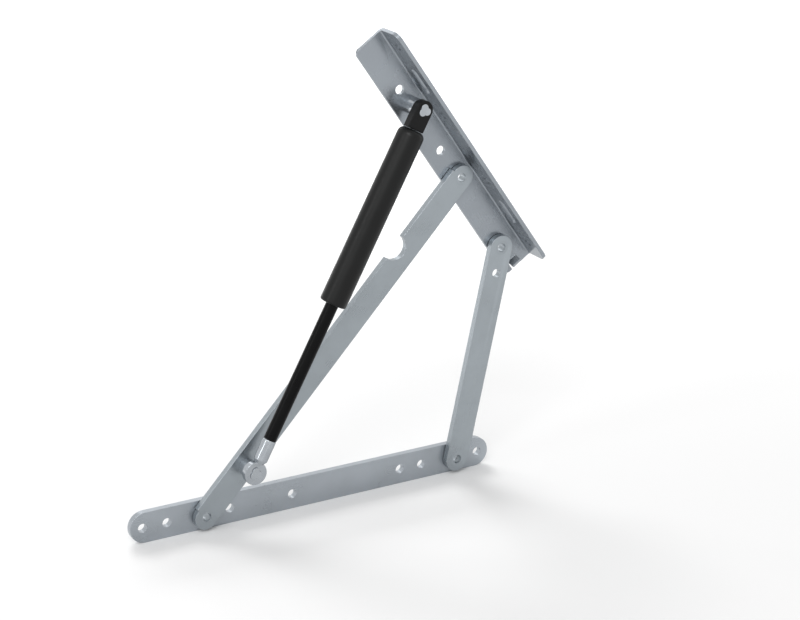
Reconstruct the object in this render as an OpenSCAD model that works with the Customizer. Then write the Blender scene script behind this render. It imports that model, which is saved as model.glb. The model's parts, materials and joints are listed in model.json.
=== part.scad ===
// Bed lift mechanism for one side of a storage bed, drawn open.
// X runs along the base bar, Z is up and -Y is the side with the gas strut.
// The origin lies midway between the base bar's end screw holes, on the face against the bed rail.

/* [Base bar] */
// Length of the base bar over its round ends
base_len = 343.6; // [340:0.1:380]
// Width of the base bar
base_w = 27; // [24:0.5:32]
// Thickness of the base bar
base_t = 6; // [4:0.5:8]
// Distance between the two end screw holes
end_screw_pitch = 321.7; // [310:0.1:324]
// Distance from the left end screw hole to the screw hole beside it
left_screw_step = 21.9; // [18:0.1:30]
// Distance from the left end screw hole to the first middle screw hole
middle_screw_1 = 79.4; // [74:0.1:100]
// Distance from the left end screw hole to the second middle screw hole
middle_screw_2 = 137.8; // [120:0.1:160]
// Distance from the left end screw hole to the first right screw hole
right_screw_1 = 243; // [230:0.1:250]
// Distance from the left end screw hole to the second right screw hole
right_screw_2 = 264.6; // [260:0.1:272]
// Distance from the left end screw hole to the long arm's pivot
pivot_from_end_screw = 55.1; // [45:0.1:60]
// Distance between the two pivots on the base bar
base_pivot_span = 242.5; // [242:0.1:244]
// Diameter of every plain screw hole in the bars and in the bracket's web
screw_hole_d = 8; // [5:0.1:9]

/* [Arms] */
// Angle of the long arm above the base bar, fully open
open_angle = 46.54; // [46:0.01:48]
// Pivot distance of the long arm
long_arm_len = 355.3; // [354:0.1:357]
// Width of the long arm on the strut's side of its pivot line
long_arm_strut_side = 11.5; // [11:0.1:13]
// Width of the long arm on the other side of its pivot line
long_arm_far_side = 10.5; // [10:0.1:12]
// Radius of the long arm's round ends
long_arm_end_r = 10; // [9:0.1:10.4]
// Distance from each pivot to the centre of the round end beyond it
long_arm_end_reach = 1.3; // [0.5:0.1:3]
// Distance along the long arm from its base pivot to the notch
notch_station = 273.2; // [270:0.1:276]
// Radius of the half-round notch that clears the upper stud when closed
notch_r = 11; // [9:0.1:12]
// Angle of the short arm above the base bar, fully open
short_open_angle = 77.235; // [76.8:0.005:77.7]
// Pivot distance of the short arm
short_arm_len = 194; // [190:0.1:196]
// Width of the short arm
short_arm_w = 22; // [18:0.5:24]
// Distance from the short arm's top pivot down to its spare hole
spare_hole_drop = 23; // [20:0.5:30]
// Thickness of both arms
arm_t = 6; // [4:0.5:7]

/* [Top bracket] */
// Length of the bracket's angle section
bracket_len = 259.9; // [250:0.1:280]
// Distance along the bracket from the short arm's pivot to the bracket's lower end
bracket_below_pivot = 28.5; // [26:0.1:32]
// Offset of the short arm's pivot from the long arm's pivot, away from the flange
bracket_pivot_drop = 5.4; // [4.5:0.1:6.5]
// Width of the web from the long arm's pivot to its free edge
web_free_side = 14.2; // [13:0.1:16]
// Width of the web from the long arm's pivot to the outside of the flange
web_flange_side = 18.2; // [17:0.1:20]
// Depth of the flange from the back of the web
flange_depth = 28.6; // [26:0.1:34]
// Thickness of the bracket's sheet
sheet_t = 3.5; // [2.5:0.1:4]
// Inside radius of the bracket's bend
bend_r = 1.5; // [1:0.1:3]
// Radius of the flange's outer corners
flange_corner_r = 6.5; // [2:0.1:8]
// Radius of the web's free corners
web_corner_r = 5; // [1:0.1:6]
// Distance from the bracket's upper end to the first flange screw hole
flange_screw_start = 15.6; // [12:0.1:20]
// Distance between neighbouring flange screw holes
flange_screw_pitch = 75.6; // [72:0.1:77]
// Diameter of the flange screw holes
flange_screw_d = 6.6; // [4:0.1:8]
// Distance from the back of the web to the line of flange holes
flange_line = 16.3; // [14:0.1:18]
// Overall length of the flange slots
slot_len = 28; // [20:0.5:36]
// Width of the flange slots
slot_w = 8.2; // [6:0.1:9]
// Distance up the bracket from the long arm's pivot to the upper web hole
web_hole_upper = 99.1; // [96:0.1:104]
// Distance up the bracket from the long arm's pivot to the lower web hole
web_hole_lower = 29.8; // [24:0.1:34]
// Distance up the bracket from the long arm's pivot to the strut's stud
stud_station = 83; // [82:0.1:84]

/* [Stop tab] */
// Width of the bent tab that stops the short arm
tab_w = 8.9; // [6:0.1:10]
// Angle that the tab is bent forward out of the web
tab_bend = 60; // [40:1:85]
// Length of the tab beyond its bend
tab_run = 5.9; // [4:0.1:8]
// Distance along the bracket from the short arm's pivot to the start of the tab's bend
tab_station = 18.1; // [16.5:0.1:19]
// Offset of the tab's middle from the long arm's pivot line, away from the flange
tab_drop = 1.3; // [0:0.1:2.5]
// Width of the relief slits beside the tab
tab_slit = 0.5; // [0.4:0.1:1.5]
// Length of the strip that joins the tab to the web
tab_root = 3; // [2:0.1:5]

/* [Pivots] */
// Gap between neighbouring plates, which a washer fills
layer_gap = 0.6; // [0.4:0.1:1.2]
// Outside diameter of the pivot washers
washer_d = 17; // [15:0.5:19]
// Diameter of the hollow pivot rivets
rivet_d = 10; // [9:0.1:11]
// Diameter of the bore through the pivot rivets
rivet_bore_d = 7.8; // [6:0.1:8.2]
// Diameter of the rivets' flared ends
rivet_flare_d = 12.4; // [11.6:0.1:13.4]
// Depth of the rivets' flared ends
rivet_flare_h = 1.2; // [0.8:0.1:1.6]

/* [Strut studs] */
// Distance along the long arm from its base pivot to the lower stud
lower_stud_station = 53.2; // [52:0.1:54]
// Offset of the lower stud from the long arm's pivot line
lower_stud_offset = 1.5; // [0.5:0.1:2.5]
// Diameter of both spacer studs
stud_d = 15; // [12:0.5:16]
// Diameter of the pins that the strut's ends turn on
pin_d = 8; // [6:0.1:8.6]
// Diameter of each lobe of the staked pin ends
lobe_d = 6.4; // [5:0.1:7]
// Distance of each lobe from the pin's centre
lobe_reach = 2.4; // [2:0.1:3]
// Turn of the first lobe about the pin, from the base bar's direction
lobe_turn = 80; // [0:1:119]
// Height of the staked pin ends
stake_h = 1; // [0.6:0.1:1.6]

/* [Gas strut] */
// Distance from the rail face to the strut's middle
strut_depth = 27; // [26:0.1:29]
// Outside diameter of the tube
tube_d = 23; // [21:0.5:24]
// Wall of the tube
tube_wall = 1.5; // [1.2:0.1:2]
// Length of the tube
tube_len = 157.5; // [156:0.5:162]
// Radius of the tube's shoulder at the closed end
shoulder_r = 5.5; // [3:0.1:6]
// Radius of the rolled edge at the rod end
roll_r = 2; // [1.6:0.1:3]
// Diameter of the opening that the rolled edge leaves round the rod
roll_opening_d = 14; // [12.5:0.1:15]
// Diameter of the piston rod
rod_d = 11; // [9:0.5:11.5]
// Width of the upper eyelet
eyelet_w = 16.2; // [14:0.1:17]
// Thickness of the upper eyelet
eyelet_t = 8; // [7:0.1:10]
// Distance from the upper stud's centre to the eyelet's lower end
eyelet_drop = 17; // [15:0.1:20]
// Gap between the eyelet and the tube, where the end plug's stud shows
neck_gap = 1; // [0.6:0.1:2]
// Diameter of the end plug's stud
plug_stud_d = 5; // [4:0.1:6]
// Thickness of the end plug's disc
plug_t = 5; // [4.7:0.1:7]
// Depth that the end plug's stud reaches into the eyelet
plug_reach = 9; // [7:0.1:10]
// Length of the rod guide
guide_len = 14; // [10:0.5:16]
// Length of the rod seal
seal_len = 5; // [3:0.1:6]
// Thickness of the washer behind the seal
backing_t = 1.5; // [1:0.1:2]
// Room left between the seal's washer and the piston, fully open
piston_room = 3; // [1:0.1:5]
// Length of the piston
piston_len = 12; // [9:0.5:13]
// Width of the groove for the piston ring
ring_w = 4; // [2.5:0.1:5]
// Depth of the groove for the piston ring
ring_depth = 1.8; // [1:0.1:2.2]
// Diameter of the rod's narrow end inside the piston
rod_end_d = 6; // [5:0.1:7]
// Overhang of the rod's riveted end over the washer
rod_head_step = 1; // [0.5:0.1:2]
// Thickness of the washer that holds the piston
piston_washer_t = 2; // [1:0.1:3]
// Diameter of the washer that holds the piston
piston_washer_d = 14; // [10:0.5:17]
// Radial gap between the piston's body and the tube
piston_gap = 0.2; // [0.1:0.05:0.4]
// Chamfer on the piston ring's edges
ring_chamfer = 0.3; // [0.1:0.1:0.8]

/* [Lower eye] */
// Diameter of the round eye on the rod
eye_d = 20; // [18:0.5:22]
// Thickness of the round eye
eye_t = 6; // [5:0.1:7]
// Distance from the eye's centre to the end of its shank
eye_shank_end = 30.5; // [26:0.1:34]
// Diameter of the eye's shank
eye_shank_d = 11.8; // [11.2:0.1:13]
// Diameter of the rod's threaded end inside the shank
rod_thread_d = 7; // [6:0.1:7.6]
// Length of the rod's threaded end
rod_thread_len = 13; // [10:0.5:14]
// Step from the eye's flat faces down to the neck of its shank
eye_step = 0.2; // [0.1:0.05:0.5]
// Length of the taper between the eye and its shank
eye_taper = 4.5; // [3:0.5:6]
// Thickness of the collar behind the eye
collar_t = 2.5; // [1.5:0.1:3]
// Height of the chamfer on turned edges
turned_chamfer = 0.6; // [0.3:0.1:1]

/* [Fits] */
// Radial clearance of every bore that turns or slides on its pin
running_fit = 0.05; // [0.02:0.01:0.1]
// Radial clearance of pieces that are pressed or screwed together
seat_fit = 0.02; // [0.01:0.01:0.04]
// Side play of a pivoting piece along its pin
side_play = 0.1; // [0.05:0.01:0.2]
// Gap between the lower stud and the collar of the pin that it carries
stud_split = 0.3; // [0.2:0.05:0.5]
// Room left at the end of each blind hole
blind_room = 0.3; // [0.1:0.1:1]

/* [Hidden] */
$fn = 96;

// Colours of the finished pieces
zinc = "#9aa0a6";
zinc_dark = "#8b9096";
black_paint = "#2b2c2d";
black_plastic = "#1e1f20";
black_rod = "#161718";
rubber_black = "#101010";
brass_tone = "#b5a26a";

// Vectors in the plane of the linkage, as [x, z]
function turn(a, p) = [p.x * cos(a) - p.y * sin(a), p.x * sin(a) + p.y * cos(a)];
function angle_of(v) = atan2(v.y, v.x);

// How far a cut reaches past the face that it starts from
past = 1;

// Depth of each layer's front face, from the rail face towards the strut
base_front = -base_t;
web_front = base_front;
web_back = web_front + sheet_t;
arm_back = web_front - layer_gap;
arm_front = arm_back - arm_t;
strut_y = -strut_depth;
washer_t = layer_gap - side_play;

// The four pivots of the linkage
base_end_screw_x = -end_screw_pitch / 2;
pivot_a = [base_end_screw_x + pivot_from_end_screw, 0];
pivot_b = pivot_a + [base_pivot_span, 0];
pivot_c = pivot_a + long_arm_len * [cos(open_angle), sin(open_angle)];
pivot_d = pivot_b + short_arm_len * [cos(short_open_angle), sin(short_open_angle)];
bracket_reach = norm(pivot_d - pivot_c);
bracket_pivot_run = sqrt(bracket_reach * bracket_reach - bracket_pivot_drop * bracket_pivot_drop);
bracket_angle = angle_of(pivot_d - pivot_c) + asin(bracket_pivot_drop / bracket_reach);

// The strut's two pins
lower_pin_at = pivot_a + turn(open_angle, [lower_stud_station, -lower_stud_offset]);
upper_pin_at = pivot_c + turn(bracket_angle, [-stud_station, 0]);
strut_len = norm(upper_pin_at - lower_pin_at);
strut_angle = angle_of(upper_pin_at - lower_pin_at);

// Stations along the strut, from the lower pin
tube_top = strut_len - eyelet_drop - neck_gap;
tube_bottom = tube_top - tube_len;
tube_inner_r = tube_d / 2 - tube_wall;
guide_start = tube_bottom + tube_wall;
seal_start = guide_start + guide_len;
backing_start = seal_start + seal_len;
piston_start = backing_start + backing_t + piston_room;
rod_top = piston_start + piston_len + piston_washer_t + stake_h;

// Places along the bracket, from the long arm's pivot towards the bracket's lower end
bracket_low = bracket_pivot_run + bracket_below_pivot;
bracket_high = bracket_low - bracket_len;
tab_foot = bracket_pivot_run + tab_station;
flange_screws = [for (i = [0:3]) bracket_high + flange_screw_start + i * flange_screw_pitch];
slot_centres = [for (i = [0, 2]) (flange_screws[i] + flange_screws[i + 1]) / 2];

base_screws = [
    for (d = [
        0, left_screw_step, middle_screw_1, middle_screw_2,
        right_screw_1, right_screw_2, end_screw_pitch
    ])
        base_end_screw_x + d
];

// Draws a flat shape of the X-Z plane as a plate from its back face towards the strut
module plate(back, t) {
    translate([0, back, 0])
        rotate([90, 0, 0])
            linear_extrude(height = t)
                children();
}

// Puts a turned piece on a pivot, its own Z axis pointing towards the strut
module on_pivot(p, back) {
    translate([p.x, back, p.y])
        rotate([90, 0, 0])
            children();
}

// Moves to the strut's own frame: Z along the strut from the lower pin, Y as before
module along_strut(station = 0) {
    translate([lower_pin_at.x, strut_y, lower_pin_at.y])
        rotate([0, 90 - strut_angle, 0])
            translate([0, 0, station])
                children();
}

// Moves a flat shape to a frame with its own origin and direction
module in_frame(origin, angle) {
    translate(origin)
        rotate(angle)
            children();
}

// Flat bar with round ends, between two points of a line
module round_bar(x0, x1, r) {
    translate([x0, 0])
        circle(r);
    translate([x1, 0])
        circle(r);
    translate([x0, -r])
        square([x1 - x0, 2 * r]);
}

// Cuts everything outside a quarter circle at a corner; sx and sy point away from the shape
module corner_cut(p, r, sx, sy) {
    translate(p)
        scale([sx, sy])
            difference() {
                translate([-r, -r])
                    square(r + past);
                translate([-r, -r])
                    circle(r);
            }
}

// Cylinder with chamfered ends
module turned(d, h, low = turned_chamfer, high = turned_chamfer) {
    rotate_extrude()
        polygon([
            [0, 0], [d / 2 - low, 0], [d / 2, low],
            [d / 2, h - high], [d / 2 - high, h], [0, h]
        ]);
}

// Hollow rivet from z = 0 to z = h, flared at the ends asked for
module rivet(h, flare_low = true, flare_high = true) {
    low_r = flare_low ? rivet_flare_d / 2 : rivet_d / 2;
    high_r = flare_high ? rivet_flare_d / 2 : rivet_d / 2;
    rotate_extrude()
        polygon([
            [rivet_bore_d / 2, 0], [low_r, 0], [rivet_d / 2, rivet_flare_h],
            [rivet_d / 2, h - rivet_flare_h], [high_r, h], [rivet_bore_d / 2, h]
        ]);
}

// Hole for a rivet through a plate of thickness t, countersunk at the side asked for
module rivet_hole(p, back, t, fit, sink_front) {
    hole_r = rivet_d / 2 + fit;
    sink_r = rivet_flare_d / 2 + fit;
    low_r = sink_front ? hole_r : sink_r;
    high_r = sink_front ? sink_r : hole_r;
    on_pivot(p, back)
        rotate_extrude()
            polygon([
                [0, -past], [low_r, -past], [low_r, 0], [hole_r, rivet_flare_h],
                [hole_r, t - rivet_flare_h], [high_r, t], [high_r, t + past], [0, t + past]
            ]);
}

module pivot_washer(p) {
    on_pivot(p, web_front)
        difference() {
            cylinder(d = washer_d, h = washer_t);
            translate([0, 0, -past])
                cylinder(r = rivet_d / 2 + seat_fit, h = washer_t + 2 * past);
        }
}

// Three lobes of a staked pin end
module staked_end(h) {
    linear_extrude(height = h)
        union() {
            circle(d = lobe_d);
            for (a = [0, 120, 240])
                rotate(a + lobe_turn)
                    translate([lobe_reach, 0])
                        circle(d = lobe_d);
        }
}

// Base bar
module base_bar() {
    end_x = (base_len - base_w) / 2;
    color(zinc)
        difference() {
            plate(0, base_t)
                difference() {
                    round_bar(-end_x, end_x, base_w / 2);
                    for (x = base_screws)
                        translate([x, 0])
                            circle(d = screw_hole_d);
                }
            rivet_hole(pivot_a, 0, base_t, seat_fit, false);
            rivet_hole(pivot_b, 0, base_t, seat_fit, false);
        }
}

// Long arm
module long_arm_shape() {
    end_y = long_arm_end_r - long_arm_far_side;
    difference() {
        union() {
            translate([0, end_y])
                round_bar(-long_arm_end_reach, long_arm_len + long_arm_end_reach, long_arm_end_r);
            square([long_arm_len, long_arm_strut_side]);
        }
        translate([notch_station, long_arm_strut_side])
            circle(notch_r);
    }
}

module long_arm() {
    color(zinc)
        difference() {
            plate(arm_back, arm_t)
                in_frame(pivot_a, open_angle)
                    long_arm_shape();
            rivet_hole(pivot_a, arm_back, arm_t, running_fit, true);
            rivet_hole(pivot_c, arm_back, arm_t, running_fit, true);
            on_pivot(lower_pin_at, arm_back + past)
                cylinder(r = pin_d / 2 + seat_fit, h = arm_t + 2 * past);
        }
}

// Short arm
module short_arm() {
    color(zinc)
        difference() {
            plate(arm_back, arm_t)
                in_frame(pivot_b, short_open_angle)
                    difference() {
                        round_bar(0, short_arm_len, short_arm_w / 2);
                        translate([short_arm_len - spare_hole_drop, 0])
                            circle(d = screw_hole_d);
                    }
            rivet_hole(pivot_b, arm_back, arm_t, seat_fit, true);
            rivet_hole(pivot_d, arm_back, arm_t, running_fit, true);
        }
}

// Section of bent sheet with its outer corner at the origin: one leg to -x, one leg to +y
module bent_section(run, rise) {
    outer_r = bend_r + sheet_t;
    difference() {
        union() {
            translate([-run, 0])
                square([run - outer_r, sheet_t]);
            translate([-sheet_t, outer_r])
                square([sheet_t, rise - outer_r]);
            translate([-outer_r, outer_r])
                intersection() {
                    circle(outer_r);
                    translate([0, -outer_r])
                        square(outer_r);
                }
        }
        translate([-outer_r, outer_r])
            circle(bend_r);
    }
}

// Moves to the bracket's own frame: X down along the bracket, Z out through the flange, Y as before
module bracket_frame() {
    translate([pivot_c.x, 0, pivot_c.y])
        rotate([0, -bracket_angle, 0])
            children();
}

// Draws a flat shape of the bracket's X-Z plane right through the web
module through_web() {
    bracket_frame()
        translate([0, web_back + past, 0])
            rotate([90, 0, 0])
                linear_extrude(height = sheet_t + 2 * past)
                    children();
}

// Draws a flat shape, x along the bracket and y forward from the web's back, right through the flange
module through_flange() {
    bracket_frame()
        translate([0, web_back, web_flange_side + past])
            rotate([180, 0, 0])
                linear_extrude(height = sheet_t + 2 * past)
                    children();
}

// Top bracket: an angle bent from sheet
module bracket_angle_section() {
    bracket_frame()
        translate([bracket_high, web_back, 0])
            rotate(a = 180, v = [1, 0, 1])
                linear_extrude(height = bracket_len)
                    translate([web_flange_side, 0])
                        bent_section(web_free_side + web_flange_side, flange_depth);
}

// Section of the stop tab: x along the bracket from the start of the bend, y forward from the web's back
module tab_section() {
    outer_r = bend_r + sheet_t;
    corner = outer_r * tan(tab_bend / 2);
    translate([-tab_root, 0])
        square([tab_root, sheet_t]);
    translate([0, outer_r]) {
        difference() {
            intersection() {
                circle(outer_r);
                polygon([
                    [0, 0], [0, -outer_r], [corner, -outer_r],
                    [outer_r * sin(tab_bend), -outer_r * cos(tab_bend)]
                ]);
            }
            circle(bend_r);
        }
        rotate(tab_bend)
            translate([0, -outer_r])
                square([tab_run, sheet_t]);
    }
}

// Stop tab, bent forward out of the web's lower end
module stop_tab() {
    bracket_frame()
        translate([tab_foot, web_back, tab_w / 2 - tab_drop])
            rotate([180, 0, 0])
                linear_extrude(height = tab_w)
                    tab_section();
}

// Opening that the stop tab leaves in the web, with its relief slits
module tab_opening_shape() {
    translate([tab_foot, -tab_drop - tab_w / 2 - tab_slit])
        square([bracket_low, tab_w + 2 * tab_slit]);
}

module top_bracket() {
    slot_run = (slot_len - slot_w) / 2;
    color(zinc)
        union() {
            difference() {
                bracket_angle_section();
                through_web() {
                    corner_cut([bracket_low, -web_free_side], web_corner_r, 1, -1);
                    corner_cut([bracket_high, -web_free_side], web_corner_r, -1, -1);
                    tab_opening_shape();
                    for (s = [-web_hole_upper, -web_hole_lower])
                        translate([s, 0])
                            circle(d = screw_hole_d);
                }
                through_flange() {
                    corner_cut([bracket_low, flange_depth], flange_corner_r, 1, 1);
                    corner_cut([bracket_high, flange_depth], flange_corner_r, -1, 1);
                    for (s = flange_screws)
                        translate([s, flange_line])
                            circle(d = flange_screw_d);
                    for (s = slot_centres)
                        translate([s, flange_line])
                            round_bar(-slot_run, slot_run, slot_w / 2);
                }
                rivet_hole(pivot_c, web_back, sheet_t, seat_fit, false);
                rivet_hole(pivot_d, web_back, sheet_t, seat_fit, false);
                on_pivot(upper_pin_at, web_back + past)
                    cylinder(r = pin_d / 2 + seat_fit, h = sheet_t + 2 * past);
            }
            stop_tab();
        }
}

// Pivot rivets and washers
module base_pivot_rivet() {
    color(zinc_dark)
        on_pivot(pivot_a, 0)
            rivet(base_t + layer_gap + arm_t);
}

module base_pivot_washers() {
    color(zinc_dark) {
        pivot_washer(pivot_a);
        pivot_washer(pivot_b);
    }
}

module short_arm_rivet_rear() {
    color(zinc_dark)
        on_pivot(pivot_b, 0)
            rivet(base_t, flare_high = false);
}

module short_arm_rivet_front() {
    color(zinc_dark)
        on_pivot(pivot_b, arm_back)
            rivet(arm_t, flare_low = false);
}

module bracket_pivot_rivets() {
    color(zinc_dark)
        for (p = [pivot_c, pivot_d])
            on_pivot(p, web_back)
                rivet(sheet_t + layer_gap + arm_t);
}

module bracket_pivot_washers() {
    color(zinc_dark) {
        pivot_washer(pivot_c);
        pivot_washer(pivot_d);
    }
}

// Studs that carry the strut
module upper_stud() {
    shoulder = web_front - (strut_y + eyelet_t / 2) - side_play;
    pin_run = eyelet_t + 2 * side_play;
    color(zinc)
        on_pivot(upper_pin_at, web_back)
            union() {
                cylinder(d = pin_d, h = sheet_t + shoulder + pin_run);
                translate([0, 0, sheet_t])
                    turned(stud_d, shoulder, 0, turned_chamfer);
                translate([0, 0, sheet_t + shoulder + pin_run])
                    staked_end(stake_h);
            }
}

module lower_stud() {
    shoulder = arm_front - (strut_y + eye_t / 2 + collar_t + stud_split);
    color(zinc)
        on_pivot(lower_pin_at, arm_back)
            union() {
                cylinder(d = pin_d, h = arm_t + shoulder);
                translate([0, 0, arm_t])
                    turned(stud_d, shoulder, 0, 0);
            }
}

module lower_pin() {
    color(zinc)
        on_pivot(lower_pin_at, strut_y + eye_t / 2 + collar_t)
            union() {
                turned(stud_d, collar_t, 0, turned_chamfer);
                cylinder(d = pin_d, h = collar_t + eye_t);
                translate([0, 0, collar_t + eye_t])
                    staked_end(stake_h);
            }
}

// Half section of a round-cornered cylinder from z0 to z1
module round_ended(r, z0, z1, low_r, high_r) {
    polygon([[0, z0], [r - low_r, z0], [r, z0 + low_r], [r, z1 - high_r], [r - high_r, z1], [0, z1]]);
    translate([r - low_r, z0 + low_r])
        intersection() {
            circle(low_r);
            translate([0, -low_r])
                square(low_r);
        }
    translate([r - high_r, z1 - high_r])
        intersection() {
            circle(high_r);
            square(high_r);
        }
}

// Turned ring with chamfered outer edges
module ring(outer_r, inner_r, h, chamfer = turned_chamfer) {
    rotate_extrude()
        polygon([
            [inner_r, 0], [outer_r - chamfer, 0], [outer_r, chamfer],
            [outer_r, h - chamfer], [outer_r - chamfer, h], [inner_r, h]
        ]);
}

// Gas strut
module strut_tube() {
    color(black_paint)
        along_strut(tube_bottom)
            rotate_extrude()
                difference() {
                    round_ended(tube_d / 2, 0, tube_len, roll_r, shoulder_r);
                    round_ended(
                        tube_inner_r, tube_wall, tube_len - tube_wall,
                        roll_r - tube_wall, shoulder_r - tube_wall
                    );
                    translate([0, -past])
                        square([roll_opening_d / 2, tube_wall + 2 * past]);
                    translate([0, tube_len - tube_wall - past])
                        square([plug_stud_d / 2 + seat_fit, tube_wall + 2 * past]);
                }
}

module upper_eyelet() {
    half_w = eyelet_w / 2;
    color(black_plastic)
        along_strut(strut_len)
            difference() {
                translate([0, eyelet_t / 2, 0])
                    rotate([90, 0, 0])
                        linear_extrude(height = eyelet_t)
                            difference() {
                                union() {
                                    circle(half_w);
                                    translate([-half_w, -eyelet_drop])
                                        square([eyelet_w, eyelet_drop]);
                                }
                                circle(pin_d / 2 + running_fit);
                            }
                translate([0, 0, -eyelet_drop - past])
                    cylinder(r = plug_stud_d / 2 + seat_fit, h = plug_reach + blind_room + past);
            }
}

module end_plug() {
    top = tube_top - tube_wall - seat_fit;
    color(zinc_dark)
        along_strut(top)
            rotate_extrude()
                union() {
                    round_ended(tube_inner_r - seat_fit, -plug_t, 0, turned_chamfer, shoulder_r - tube_wall);
                    translate([0, -plug_t / 2])
                        square([plug_stud_d / 2, plug_t / 2 + seat_fit + tube_wall + neck_gap + plug_reach]);
                }
}

module rod_guide() {
    color(brass_tone)
        along_strut(guide_start + seat_fit)
            ring(tube_inner_r - seat_fit, rod_d / 2 + running_fit, guide_len - 2 * seat_fit);
}

module rod_seal() {
    color(rubber_black)
        along_strut(seal_start)
            ring(tube_inner_r - seat_fit, rod_d / 2 + running_fit, seal_len);
}

module seal_backing_washer() {
    color(zinc_dark)
        along_strut(backing_start + seat_fit)
            ring(tube_inner_r - seat_fit, rod_d / 2 + running_fit, backing_t, 0);
}

module piston_rod() {
    end_r = rod_end_d / 2;
    head_r = end_r + rod_head_step;
    shoulder = piston_start + piston_len + piston_washer_t;
    color(black_rod)
        along_strut()
            rotate_extrude()
                polygon([
                    [0, eye_shank_end - rod_thread_len], [rod_thread_d / 2, eye_shank_end - rod_thread_len],
                    [rod_thread_d / 2, eye_shank_end + seat_fit], [rod_d / 2, eye_shank_end + seat_fit],
                    [rod_d / 2, piston_start - seat_fit], [end_r, piston_start - seat_fit],
                    [end_r, shoulder + seat_fit], [head_r, shoulder + seat_fit],
                    [head_r, rod_top], [0, rod_top]
                ]);
}

module piston() {
    r = tube_inner_r - piston_gap;
    groove = (piston_len - ring_w) / 2;
    color(zinc_dark)
        along_strut(piston_start)
            difference() {
                ring(r, rod_end_d / 2 + seat_fit, piston_len);
                translate([0, 0, groove])
                    ring(r + past, r - ring_depth, ring_w, 0);
            }
}

module piston_ring() {
    r = tube_inner_r - piston_gap - ring_depth;
    groove = (piston_len - ring_w) / 2;
    color(rubber_black)
        along_strut(piston_start + groove + seat_fit)
            ring(tube_inner_r - running_fit, r + seat_fit, ring_w - 2 * seat_fit, ring_chamfer);
}

module piston_washer() {
    color(zinc_dark)
        along_strut(piston_start + piston_len + seat_fit)
            ring(piston_washer_d / 2, rod_end_d / 2 + seat_fit, piston_washer_t - seat_fit, 0);
}

// Lower eye: a flattened round eye on a turned shank
module lower_eye() {
    neck_r = eye_t / 2 - eye_step;
    ring_middle = (pin_d + eye_d) / 4;
    shank_r = eye_shank_d / 2;
    neck_start = stud_d / 2 + seat_fit;
    color(zinc)
        along_strut()
            difference() {
                union() {
                    translate([0, eye_t / 2, 0])
                        rotate([90, 0, 0])
                            cylinder(d = eye_d, h = eye_t);
                    rotate_extrude()
                        polygon([
                            [0, ring_middle], [neck_r, ring_middle], [neck_r, neck_start],
                            [shank_r, neck_start + eye_taper], [shank_r, eye_shank_end - turned_chamfer],
                            [shank_r - turned_chamfer, eye_shank_end], [0, eye_shank_end]
                        ]);
                }
                translate([0, eye_t / 2 + past, 0])
                    rotate([90, 0, 0])
                        cylinder(r = pin_d / 2 + seat_fit, h = eye_t + 2 * past);
                translate([0, 0, eye_shank_end - rod_thread_len - blind_room])
                    cylinder(r = rod_thread_d / 2 + seat_fit, h = rod_thread_len + blind_room + past);
            }
}

base_bar();
long_arm();
short_arm();
top_bracket();
base_pivot_rivet();
base_pivot_washers();
short_arm_rivet_rear();
short_arm_rivet_front();
bracket_pivot_rivets();
bracket_pivot_washers();
upper_stud();
lower_stud();
lower_pin();
strut_tube();
upper_eyelet();
end_plug();
rod_guide();
rod_seal();
seal_backing_washer();
piston_rod();
piston();
piston_ring();
piston_washer();
lower_eye();
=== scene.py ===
# %% [markdown]
# A bed lift mechanism, dressed over its CAD frame. The frame holds every piece at its real size, in metres,
# with the joints between them. This script gives the pieces their plated, coated and moulded finishes,
# rounds the edges that stamping and turning leave, and sets up a plain white studio.

# %% Load the frame
import json
import math

import bmesh
import bpy
from mathutils import Matrix, Vector


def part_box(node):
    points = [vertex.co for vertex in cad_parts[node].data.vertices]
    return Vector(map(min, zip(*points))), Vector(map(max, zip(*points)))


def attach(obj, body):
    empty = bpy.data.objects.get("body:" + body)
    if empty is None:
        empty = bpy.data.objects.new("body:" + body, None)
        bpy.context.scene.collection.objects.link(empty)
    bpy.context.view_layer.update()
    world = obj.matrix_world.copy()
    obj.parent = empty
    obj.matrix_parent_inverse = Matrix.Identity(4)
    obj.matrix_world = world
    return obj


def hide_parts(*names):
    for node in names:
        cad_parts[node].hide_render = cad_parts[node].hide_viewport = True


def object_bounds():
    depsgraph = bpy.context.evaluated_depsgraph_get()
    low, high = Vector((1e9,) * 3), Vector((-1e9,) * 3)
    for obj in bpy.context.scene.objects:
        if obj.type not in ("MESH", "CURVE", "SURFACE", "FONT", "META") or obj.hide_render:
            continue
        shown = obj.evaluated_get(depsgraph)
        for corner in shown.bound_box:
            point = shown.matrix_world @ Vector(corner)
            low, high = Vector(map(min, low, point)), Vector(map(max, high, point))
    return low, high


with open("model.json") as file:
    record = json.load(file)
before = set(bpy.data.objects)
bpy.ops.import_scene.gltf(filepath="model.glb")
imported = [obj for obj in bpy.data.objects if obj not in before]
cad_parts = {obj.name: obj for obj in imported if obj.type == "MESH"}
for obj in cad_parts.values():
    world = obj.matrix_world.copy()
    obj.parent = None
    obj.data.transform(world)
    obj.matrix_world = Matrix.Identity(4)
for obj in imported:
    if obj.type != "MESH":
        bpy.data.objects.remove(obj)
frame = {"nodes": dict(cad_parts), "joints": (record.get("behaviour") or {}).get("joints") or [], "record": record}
cad_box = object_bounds()
nodes = frame["nodes"]
joints = {joint["name"]: joint for joint in frame["joints"]}

# %% [markdown]
# The linkage is flat, so every bar has one direction in the X-Z plane. The joints give the pivots, and the
# pivots give the directions. Rolling and drawing marks run along these directions, so the finishes need them.

# %% Measure the directions of the bars
MM = 0.001


def joint_place(name):
    return Vector(joints[name]["pos_m"])


def slope(start, end):
    return math.atan2(end.z - start.z, end.x - start.x)


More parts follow.
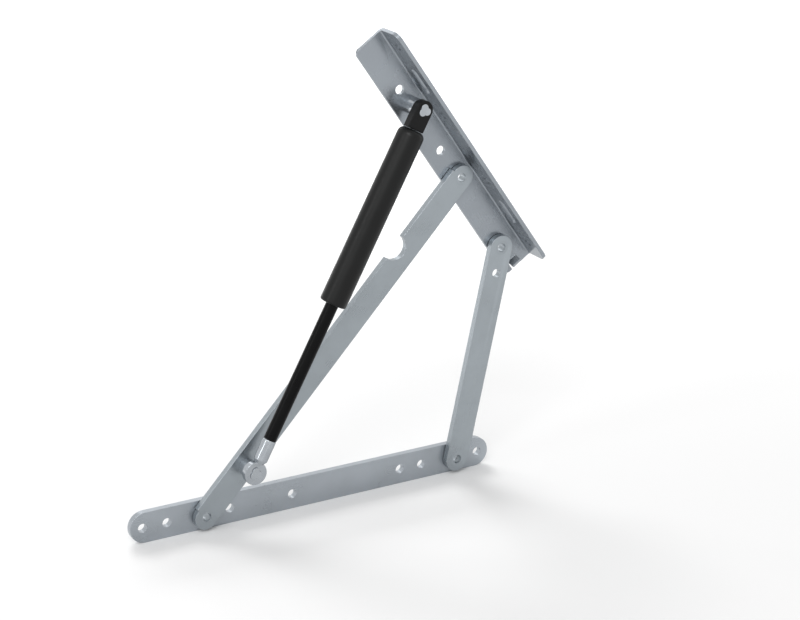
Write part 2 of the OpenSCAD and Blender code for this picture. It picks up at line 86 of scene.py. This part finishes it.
long_arm_foot = joint_place("long_arm_hinge")
long_arm_head = joint_place("bracket_hinge")
short_arm_head = joint_place("short_arm_hinge")
strut_head = joint_place("strut_hinge")
rod_axis = Vector(joints["rod_slide"]["axis"])
short_low, short_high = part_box("short_arm_rivet_front")
short_arm_foot = (Vector(short_low) + Vector(short_high)) / 2
directions = {
    "base_bar": 0.0,
    "long_arm": slope(long_arm_foot, long_arm_head),
    "short_arm": slope(short_arm_foot, short_arm_head),
    "top_bracket": slope(strut_head, long_arm_head),
    "strut": math.atan2(rod_axis.z, rod_axis.x),
}
for name, angle in directions.items():
    print(name, "lies at", round(math.degrees(angle), 1), "degrees")

# %% [markdown]
# Colours are written as sRGB hex values, the way a colour card gives them, and one function turns them into
# the linear values that shaders use. One more function adds a shader node with its settings and its links.


# %% Colour and node helpers
def linear(hex_colour):
    channels = [int(hex_colour[i:i + 2], 16) / 255 for i in (1, 3, 5)]
    return [c / 12.92 if c <= 0.04045 else ((c + 0.055) / 1.055) ** 2.4 for c in channels] + [1.0]


def add_node(tree, kind, settings, links=None):
    node = tree.nodes.new(kind)
    for key, value in settings.items():
        if isinstance(key, int) or key in node.inputs:
            node.inputs[key].default_value = value
        else:
            setattr(node, key, value)
    for key, output in (links or {}).items():
        tree.links.new(output, node.inputs[key])
    return node


def new_material(name):
    material = bpy.data.materials.new(name)
    material.use_nodes = True
    material.node_tree.nodes.clear()
    return material, material.node_tree


def set_ramp(node, stops):
    ramp = node.color_ramp
    while len(ramp.elements) < len(stops):
        ramp.elements.new(0.5)
    for element, (position, colour) in zip(ramp.elements, stops):
        element.position = position
        element.color = colour


print("the card's mid grey, #808080, is", round(linear("#808080")[0], 3), "in linear values")

# %% [markdown]
# Bright zinc plate on rolled steel. The steel is cold rolled, blanked on a press and barrel plated: the
# plate is a thin, bluish, half-bright metal layer. The rolled faces keep faint lines along the bar, and the
# plate clouds a little from place to place. Its fine crystals scatter some of the light, so it isn't wholly
# a mirror, and hollows that a mirror would leave black stay grey.
#
# An image could carry these marks, but noise has no seams and its scale is a real size: clouds are about
# 30 mm across. Real rolling lines are finer than the picture can show, so they are drawn about 0.5 mm apart.
# Bronze and bare turned steel have the same kinds of marks, so one function serves all the metals.


# %% A metal with lines and clouds
LINE_STRETCH = 0.02
LINE_DEPTH = 0.004 * MM
LINE_BUMP = 0.35
LINE_DULLING = 0.08
CLOUD_VALUES = (0.3, 0.7)
CLOUD_SHADES = (0.93, 1.05)
CLOUD_DULLING = (-0.05, 0.07)


def shaded(colour, share):
    return [min(1.0, channel * share) for channel in linear(colour)[:3]] + [1.0]


def metal_finish(name, angle, colour, rough=0.26, mirror_share=0.82, line_mm=0.5, cloud_mm=30.0):
    material, tree = new_material(name)
    place = add_node(tree, "ShaderNodeTexCoord", {})
    turned = add_node(
        tree, "ShaderNodeMapping", {"Rotation": (0, angle, 0)}, {"Vector": place.outputs["Object"]},
    )
    across = 1.0 / (line_mm * MM)
    stretched = add_node(
        tree, "ShaderNodeMapping", {"Scale": (LINE_STRETCH / (line_mm * MM), across, across)},
        {"Vector": turned.outputs["Vector"]},
    )
    lines = add_node(
        tree, "ShaderNodeTexNoise", {"Scale": 1.0, "Detail": 2.0, "Roughness": 0.6},
        {"Vector": stretched.outputs["Vector"]},
    )
    clouds = add_node(
        tree, "ShaderNodeTexNoise", {"Scale": 1.0 / (cloud_mm * MM), "Detail": 3.0, "Roughness": 0.55},
        {"Vector": turned.outputs["Vector"]},
    )
    tint = add_node(tree, "ShaderNodeValToRGB", {}, {"Fac": clouds.outputs["Fac"]})
    set_ramp(tint, [(value, shaded(colour, share)) for value, share in zip(CLOUD_VALUES, CLOUD_SHADES)])
    dulled = add_node(
        tree, "ShaderNodeMapRange",
        {
            "From Min": CLOUD_VALUES[0], "From Max": CLOUD_VALUES[1],
            "To Min": rough + CLOUD_DULLING[0], "To Max": rough + CLOUD_DULLING[1],
        },
        {"Value": clouds.outputs["Fac"]},
    )
    brushed = add_node(
        tree, "ShaderNodeMath", {"operation": "MULTIPLY_ADD", 1: LINE_DULLING},
        {0: lines.outputs["Fac"], 2: dulled.outputs["Result"]},
    )
    bump = add_node(
        tree, "ShaderNodeBump", {"Strength": LINE_BUMP, "Distance": LINE_DEPTH},
        {"Height": lines.outputs["Fac"]},
    )
    shader = add_node(
        tree, "ShaderNodeBsdfPrincipled", {"Metallic": mirror_share},
        {
            "Base Color": tint.outputs["Color"], "Roughness": brushed.outputs["Value"],
            "Normal": bump.outputs["Normal"],
        },
    )
    add_node(tree, "ShaderNodeOutputMaterial", {}, {"Surface": shader.outputs["BSDF"]})
    return material


# %% [markdown]
# The bars and the bracket are given slightly different greys. The bracket's sheet is smoother than the flat
# bar, and the turned pieces are the brightest. The guide inside the strut is sintered bronze, and the pieces
# around it are oiled steel.

# %% Plate the bars, and the metals inside the strut
BAR_GREYS = {"base_bar": "#A7ADB3", "long_arm": "#9DA4A9", "short_arm": "#9EA5AA"}
zinc = {
    name: metal_finish("zinc_plated_" + name, directions[name], colour) for name, colour in BAR_GREYS.items()
}
zinc["top_bracket"] = metal_finish(
    "zinc_plated_top_bracket", directions["top_bracket"], "#979DA3", rough=0.2, mirror_share=0.74,
)
zinc_rivet = metal_finish("zinc_plated_rivet", directions["long_arm"], "#9DA4A9")
zinc_turned = metal_finish(
    "zinc_plated_turned_steel", directions["strut"], "#A9AEB3", rough=0.12, cloud_mm=9.0,
)
guide_bronze = metal_finish("sintered_bronze_guide", 0.0, "#8A6B3E", rough=0.5, line_mm=0.4, cloud_mm=3.0)
oiled_steel = metal_finish("oiled_turned_steel", 0.0, "#7E8287", rough=0.3, line_mm=0.4, cloud_mm=5.0)
metals = (*zinc.values(), zinc_rivet, zinc_turned, guide_bronze, oiled_steel)
print("metals:", ", ".join(material.name for material in metals))

# %% [markdown]
# The strut's tube is powder coated: satin black, with the fine orange peel that the powder leaves as it
# melts. The rod is nitrided and polished, darker and smoother, with its marks along its length. The eyelet
# is moulded nylon with a fine grain, and the seals are rubber. None of them is pure black, and each has its
# own gloss, which is what tells them apart.
#
# They could be four node trees, but each is a fine grain in the surface and a slow change of its gloss, so
# one function makes them all. The grain is drawn coarse enough to show: 0.3 to 0.9 mm.


# %% A black finish with grain and wear
GRAIN_BUMP = 0.5
WEAR_SIZE = 14 * MM
WEAR_VALUES = (0.3, 0.7)
WEAR_DULLING = (-0.04, 0.06)
WEAR_SHADES = ((0.3, 0.85), (0.75, 1.2))


def black_finish(name, colour, rough, grain_mm, grain_depth_mm, stretch=1.0, angle=0.0, specular=0.5):
    material, tree = new_material(name)
    place = add_node(tree, "ShaderNodeTexCoord", {})
    turned = add_node(
        tree, "ShaderNodeMapping", {"Rotation": (0, angle, 0)}, {"Vector": place.outputs["Object"]},
    )
    across = stretch / (grain_mm * MM)
    sized = add_node(
        tree, "ShaderNodeMapping", {"Scale": (1.0 / (grain_mm * MM), across, across)},
        {"Vector": turned.outputs["Vector"]},
    )
    grain = add_node(
        tree, "ShaderNodeTexNoise", {"Scale": 1.0, "Detail": 2.0, "Roughness": 0.5},
        {"Vector": sized.outputs["Vector"]},
    )
    wear = add_node(
        tree, "ShaderNodeTexNoise", {"Scale": 1.0 / WEAR_SIZE, "Detail": 4.0, "Roughness": 0.6},
        {"Vector": turned.outputs["Vector"]},
    )
    tint = add_node(tree, "ShaderNodeValToRGB", {}, {"Fac": wear.outputs["Fac"]})
    set_ramp(tint, [(value, shaded(colour, share)) for value, share in WEAR_SHADES])
    roughness = add_node(
        tree, "ShaderNodeMapRange",
        {
            "From Min": WEAR_VALUES[0], "From Max": WEAR_VALUES[1],
            "To Min": rough + WEAR_DULLING[0], "To Max": rough + WEAR_DULLING[1],
        },
        {"Value": wear.outputs["Fac"]},
    )
    bump = add_node(
        tree, "ShaderNodeBump", {"Strength": GRAIN_BUMP, "Distance": grain_depth_mm * MM},
        {"Height": grain.outputs["Fac"]},
    )
    shader = add_node(
        tree, "ShaderNodeBsdfPrincipled", {"Specular IOR Level": specular},
        {
            "Base Color": tint.outputs["Color"], "Roughness": roughness.outputs["Result"],
            "Normal": bump.outputs["Normal"],
        },
    )
    add_node(tree, "ShaderNodeOutputMaterial", {}, {"Surface": shader.outputs["BSDF"]})
    return material


tube_coat = black_finish(
    "powder_coated_tube", "#080909", 0.38, grain_mm=0.9, grain_depth_mm=0.02, specular=0.25,
)
rod_coat = black_finish(
    "nitrided_rod", "#070708", 0.3, grain_mm=0.3, grain_depth_mm=0.004, stretch=0.05,
    angle=directions["strut"], specular=0.1,
)
nylon = black_finish(
    "moulded_nylon_eyelet", "#090A0B", 0.42, grain_mm=0.35, grain_depth_mm=0.01, specular=0.2,
)
seal_rubber = black_finish("nitrile_seal", "#121212", 0.6, grain_mm=0.5, grain_depth_mm=0.01)
print("blacks:", ", ".join(material.name for material in (tube_coat, rod_coat, nylon, seal_rubber)))

# %% [markdown]
# The CAD nodes keep their shape and get these finishes in their material slots. The pieces inside the strut
# don't show, but the tube can be hidden or cut open later, so they are finished as well.

# %% Give each CAD node its finish
finishes = {
    "base_bar": zinc["base_bar"],
    "long_arm": zinc["long_arm"],
    "short_arm": zinc["short_arm"],
    "top_bracket": zinc["top_bracket"],
    "base_pivot_rivet": zinc_rivet,
    "base_pivot_washers": zinc_rivet,
    "short_arm_rivet_rear": zinc_rivet,
    "short_arm_rivet_front": zinc_rivet,
    "bracket_pivot_rivets": zinc_rivet,
    "bracket_pivot_washers": zinc_rivet,
    "upper_stud": zinc_turned,
    "lower_stud": zinc_turned,
    "lower_pin": zinc_turned,
    "lower_eye": zinc_turned,
    "strut_tube": tube_coat,
    "upper_eyelet": nylon,
    "piston_rod": rod_coat,
    "end_plug": oiled_steel,
    "rod_guide": guide_bronze,
    "rod_seal": seal_rubber,
    "seal_backing_washer": oiled_steel,
    "piston": oiled_steel,
    "piston_ring": seal_rubber,
    "piston_washer": oiled_steel,
}
for name, material in finishes.items():
    for slot in nodes[name].material_slots:
        slot.material = material
    print(name, len(nodes[name].data.polygons), "faces")

# %% [markdown]
# No real edge is perfectly sharp. Tumbling in the plating barrel rounds a blanked edge to about a third of a
# millimetre, turning leaves a tiny break, and a mould gives nylon a softer radius. That small radius is what
# catches the light as a bright line. The edges could be rounded by a shader, but real rounding holds from
# every side and in the exported model. So the plates and the turned and moulded pieces get a copy of their
# CAD mesh, with a bevel.
#
# A punched hole is different. The punch pulls its rim in on one side and leaves it crisp on the other, and a
# rivet fills its hole to the edge. So sharp edges are followed from vertex to vertex, and on the blanked
# plates a closed chain that is no longer than a slot's rim is left as it is.


# %% Follow the sharp edges
SHARP_TURN = math.radians(28)


def sharp_chains(shape):
    waiting = {edge for edge in shape.edges if edge.calc_face_angle(0.0) > SHARP_TURN}
    while waiting:
        chain = set()
        front = [waiting.pop()]
        while front:
            edge = front.pop()
            chain.add(edge)
            for vertex in edge.verts:
                for neighbour in vertex.link_edges:
                    if neighbour in waiting:
                        waiting.remove(neighbour)
                        front.append(neighbour)
        yield chain


# %% [markdown]
# The CAD mesh is loose triangles. In the copy they are merged and the flat faces are joined up again, because
# a bevel needs whole edges. Only outer corners are weighted for it: inside a corner nothing rubs, and where
# the eye's shank meets its ring a bevel would tear the surface. Some copies are first adjusted. That
# picks vertices by their place, so the loose triangles' shared corners move together.

# %% Copy a piece and round its edges
MERGE_DISTANCE = 0.001 * MM
FLAT_TURN = math.radians(0.5)
SMOOTH_TURN = math.radians(24)
record = frame["record"]
body_of_node = {name: body for body, members in record["behaviour"]["bodies"].items() for name in members}


def rounded_copy(name, radius_mm, shortest, reshape=None):
    shape = bmesh.new()
    shape.from_mesh(nodes[name].data)
    if reshape:
        reshape(shape)
    bmesh.ops.remove_doubles(shape, verts=shape.verts, dist=MERGE_DISTANCE)
    bmesh.ops.dissolve_limit(
        shape, angle_limit=FLAT_TURN, use_dissolve_boundaries=False,
        verts=shape.verts, edges=shape.edges, delimit={"NORMAL"},
    )
    weight = shape.edges.layers.float.new("bevel_weight_edge")
    rounded_length = 0.0
    for chain in sharp_chains(shape):
        if sum(edge.calc_length() for edge in chain) >= shortest:
            for edge in chain:
                if edge.is_convex:
                    edge[weight] = 1.0
                    rounded_length += edge.calc_length()
    mesh = bpy.data.meshes.new(name + "_rounded")
    shape.to_mesh(mesh)
    shape.free()
    mesh.shade_smooth()
    mesh.set_sharp_from_angle(angle=SMOOTH_TURN)
    mesh.materials.append(finishes[name])
    piece = bpy.data.objects.new(name + "_rounded", mesh)
    bpy.context.scene.collection.objects.link(piece)
    edges = piece.modifiers.new("rounded_edges", "BEVEL")
    edges.width = radius_mm * MM
    edges.segments = 2
    edges.limit_method = "WEIGHT"
    edges.use_clamp_overlap = False
    edges.harden_normals = True
    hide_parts(name)
    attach(piece, body_of_node[name])
    print(piece.name, "rides on", body_of_node[name], "with", round(rounded_length / MM), "mm of round edges")


# %% [markdown]
# The blanked plates come first: flat bars and the bent bracket.

# %% Round the blanked plates
LONGEST_RIM = 80 * MM
for name, radius_mm in {"base_bar": 0.35, "long_arm": 0.35, "short_arm": 0.35, "top_bracket": 0.3}.items():
    rounded_copy(name, radius_mm, LONGEST_RIM)

# %% [markdown]
# Two of the other pieces are also adjusted, as a fitter would. The punch that stakes the pins isn't
# timed, so the three lobes are turned a little. The eyelet is screwed down until it almost touches the tube.


# %% Turn the lobes and seat the eyelet
LOBE_TURN = math.radians(-12)
LOBE_DEPTH = 1.01 * MM
NECK_CLOSED = 0.75 * MM
SHOULDER_SLICE = 0.01 * MM


def turn_lobes(shape, pin):
    front = min(vertex.co.y for vertex in shape.verts)
    bmesh.ops.rotate(
        shape, cent=pin, matrix=Matrix.Rotation(LOBE_TURN, 3, "Y"),
        verts=[vertex for vertex in shape.verts if vertex.co.y < front + LOBE_DEPTH],
    )


def along_strut(vertex):
    return (vertex.co - strut_head).dot(rod_axis)


def seat_eyelet(shape):
    lowest = min(along_strut(vertex) for vertex in shape.verts)
    bmesh.ops.translate(
        shape, vec=rod_axis * -NECK_CLOSED,
        verts=[vertex for vertex in shape.verts if along_strut(vertex) < lowest + SHOULDER_SLICE],
    )


# %% [markdown]
# The turned and moulded pieces have all their outer edges rounded, the short ones too.

# %% Round the turned and moulded pieces
pin_low, pin_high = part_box("lower_pin")
lower_pin_place = (Vector(pin_low) + Vector(pin_high)) / 2
for name, radius_mm, reshape in (
    ("upper_stud", 0.25, lambda shape: turn_lobes(shape, strut_head)),
    ("lower_pin", 0.25, lambda shape: turn_lobes(shape, lower_pin_place)),
    ("lower_stud", 0.2, None),
    ("lower_eye", 0.4, None),
    ("upper_eyelet", 0.8, seat_eyelet),
):
    rounded_copy(name, radius_mm, 0.0, reshape)

# %% [markdown]
# The studio is white on white: a wide pale floor that the base bar stands on, and a world that is white to
# the camera. More lamps could whiten them, but they would also bleach the zinc. So the floor glows a little
# near the object, where it takes the shadows, and more further out, where the lamps don't reach it and it
# would turn grey. Both whites are only seen, by the camera and in mirror images, and throw no light on the
# object.


# %% White that is only seen
WHITE = (1.0, 1.0, 1.0, 1.0)


def seen_directly(tree):
    path = add_node(tree, "ShaderNodeLightPath", {})
    straight = add_node(
        tree, "ShaderNodeMath", {"operation": "MAXIMUM"},
        {0: path.outputs["Is Camera Ray"], 1: path.outputs["Is Transmission Ray"]},
    )
    seen = add_node(
        tree, "ShaderNodeMath", {"operation": "MAXIMUM"},
        {0: straight.outputs["Value"], 1: path.outputs["Is Glossy Ray"]},
    )
    return seen.outputs["Value"]


# %% [markdown]
# The floor is one flat square of matt white paint at the height of the base bar's lower edge.

# %% Floor
FLOOR_HALF_WIDTH = 6.0
FLOOR_PAINT = (0.8, 0.8, 0.8, 1.0)
GLOW_DISTANCES = (0.2, 2.2)
GLOW_STRENGTHS = (0.05, 0.58)
floor_z = cad_box[0][2]
floor_mesh = bpy.data.meshes.new("studio_floor")
floor_shape = bmesh.new()
bmesh.ops.create_grid(floor_shape, x_segments=1, y_segments=1, size=FLOOR_HALF_WIDTH)
bmesh.ops.translate(floor_shape, verts=floor_shape.verts, vec=(0, 0, floor_z))
floor_shape.to_mesh(floor_mesh)
floor_shape.free()
studio_floor = bpy.data.objects.new("studio_floor", floor_mesh)
bpy.context.scene.collection.objects.link(studio_floor)

floor_paint, tree = new_material("white_studio_floor")
diffuse = add_node(tree, "ShaderNodeBsdfDiffuse", {"Color": FLOOR_PAINT})
place = add_node(tree, "ShaderNodeTexCoord", {})
distance = add_node(tree, "ShaderNodeVectorMath", {"operation": "LENGTH"}, {0: place.outputs["Object"]})
outward = add_node(
    tree, "ShaderNodeMapRange",
    {
        "From Min": GLOW_DISTANCES[0], "From Max": GLOW_DISTANCES[1],
        "To Min": GLOW_STRENGTHS[0], "To Max": GLOW_STRENGTHS[1], "interpolation_type": "SMOOTHSTEP",
    },
    {"Value": distance.outputs["Value"]},
)
self_lit = add_node(
    tree, "ShaderNodeMath", {"operation": "MULTIPLY"},
    {0: outward.outputs["Result"], 1: seen_directly(tree)},
)
glow = add_node(tree, "ShaderNodeEmission", {"Color": WHITE}, {"Strength": self_lit.outputs["Value"]})
both = add_node(tree, "ShaderNodeAddShader", {}, {0: diffuse.outputs["BSDF"], 1: glow.outputs["Emission"]})
add_node(tree, "ShaderNodeOutputMaterial", {}, {"Surface": both.outputs["Shader"]})
studio_floor.data.materials.append(floor_paint)
print("floor at", round(floor_z / MM, 1), "mm")

# %% [markdown]
# The world gives an even light from all sides, as the white walls of a studio do, and is plain white where it
# is seen.

# %% World
SOFT_LIGHT = 0.52
world = bpy.data.worlds.new("white_studio")
bpy.context.scene.world = world
world.use_nodes = True
tree = world.node_tree
tree.nodes.clear()
soft_light = add_node(tree, "ShaderNodeBackground", {"Color": WHITE, "Strength": SOFT_LIGHT})
white = add_node(tree, "ShaderNodeBackground", {"Color": WHITE, "Strength": 1.0})
sky = add_node(
    tree, "ShaderNodeMixShader", {},
    {0: seen_directly(tree), 1: soft_light.outputs["Background"], 2: white.outputs["Background"]},
)
add_node(tree, "ShaderNodeOutputWorld", {}, {"Surface": sky.outputs["Shader"]})
print("soft light of the world:", SOFT_LIGHT)

# %% [markdown]
# Two soft panels and two strips. The main panel stands high behind the object, a little to the right: it
# throws the shadow forward over the floor and is what the level top edges and the upper ends mirror. Most of
# its light is kept out of the mirror images, as a polarising filter does in a studio, or the bracket's upper
# end would vanish against the white. A wide strip low behind the object, polarised too, darkens the floor
# right under the base bar. The other panel stands at the front left and throws the fainter shadow to the
# back. The strip at the left draws a light line along the round pieces. The faces towards the camera mirror
# the floor in front of them.


# %% Lamps
def soft_box(name, place, aim, size, power, mirrored=True):
    lamp = bpy.data.lights.new(name, "AREA")
    lamp.shape = "RECTANGLE"
    lamp.size, lamp.size_y = size
    lamp.energy = power
    holder = bpy.data.objects.new(name, lamp)
    bpy.context.scene.collection.objects.link(holder)
    holder.location = place
    holder.rotation_euler = (Vector(aim) - Vector(place)).to_track_quat("-Z", "Y").to_euler()
    holder.visible_glossy = mirrored
    print(name, "gives", power, "W")


AIM_HEIGHT = 0.2
PANEL = (1.2, 1.2)
BACK_PLACE = (0.42, 2.1, 2.15)
middle = Vector((sum(cad_box[i][0] for i in (0, 1)) / 2, 0.0, AIM_HEIGHT))
soft_box("back_panel", BACK_PLACE, middle, PANEL, 7.0)
soft_box("back_panel_polarised", BACK_PLACE, middle, PANEL, 26.0, mirrored=False)
soft_box("low_back_strip", (0.1, 2.4, 0.7), middle, (2.4, 0.4), 44.0, mirrored=False)
soft_box("front_left_panel", (-1.2, -1.6, 2.0), middle, PANEL, 28.0)
soft_box("left_strip", (-1.8, -0.25, 1.05), middle, (0.3, 1.0), 4.0)

# %% [markdown]
# The camera was worked out from the photograph's straight edges and pivots: a long lens from the left and
# a little above. A long lens keeps the bars' edges nearly parallel, as they are in the photograph.

# %% Camera
view_azimuth = math.radians(-29.63)
view_elevation = math.radians(19.69)
view_distance = 1.8437
view_target = Vector((0.0824, -0.006, 0.1474))
back = Vector((
    math.sin(view_azimuth) * math.cos(view_elevation),
    -math.cos(view_azimuth) * math.cos(view_elevation),
    math.sin(view_elevation),
))
camera_data = bpy.data.cameras.new("camera")
camera_data.lens = 97.56
camera_data.sensor_width = 36.0
camera = bpy.data.objects.new("camera", camera_data)
camera.location = view_target + back * view_distance
camera.rotation_euler = back.to_track_quat("Z", "Y").to_euler()
bpy.context.scene.collection.objects.link(camera)
bpy.context.scene.camera = camera
bpy.context.scene.view_settings.view_transform = "Standard"
print("camera at", [round(value, 3) for value in camera.location])
